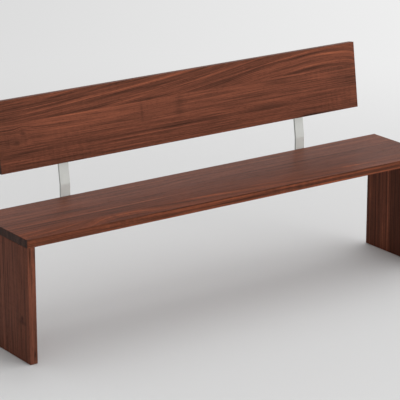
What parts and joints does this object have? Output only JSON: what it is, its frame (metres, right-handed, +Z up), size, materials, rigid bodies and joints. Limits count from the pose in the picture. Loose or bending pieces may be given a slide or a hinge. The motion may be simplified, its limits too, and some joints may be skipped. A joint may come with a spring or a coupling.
{
  "type": "bench with backrest",
  "caption": "Walnut bench: edge-glued plank seat on slab legs, with a leaning backrest board carried on bent flat steel bars behind the seat.",
  "frame": {"origin": "on the floor, in the middle of the whole bench's length and depth", "axes": "+X along the bench to the sitter's left, which is the viewer's right from the front; +Y from front to rear; +Z up"},
  "size_m": [1.8, 0.405, 0.8317],
  "materials": {
    "seat_wood": "satin oiled walnut",
    "leg_wood": "satin oiled walnut",
    "back_wood": "satin oiled walnut",
    "post_steel": "brushed stainless",
    "bracket_steel": "zinc plated",
    "screw_steel": "bright",
    "insert_brass": "turned",
    "dowel_wood": "raw beech",
    "glide_plastic": "moulded nylon"
  },
  "bodies": {
    "root": {"seat_stave_1": "seat_wood", "seat_stave_2": "seat_wood", "seat_stave_3": "seat_wood", "seat_stave_4": "seat_wood", "seat_stave_5": "seat_wood", "left_leg_stave_1": "leg_wood", "left_leg_stave_2": "leg_wood", "left_leg_stave_3": "leg_wood", "left_leg_stave_4": "leg_wood", "left_leg_stave_5": "leg_wood", "right_leg_stave_1": "leg_wood", "right_leg_stave_2": "leg_wood", "right_leg_stave_3": "leg_wood", "right_leg_stave_4": "leg_wood", "right_leg_stave_5": "leg_wood", "back_stave_1": "back_wood", "back_stave_2": "back_wood", "back_stave_3": "back_wood", "left_post": "post_steel", "right_post": "post_steel", "left_bracket": "bracket_steel", "right_bracket": "bracket_steel", "leg_dowels": "dowel_wood", "bracket_screws": "screw_steel", "foot_screws": "screw_steel", "back_screws": "screw_steel", "seat_inserts": "insert_brass", "back_inserts": "insert_brass", "floor_glides": "glide_plastic"}
  },
  "joints": []
}
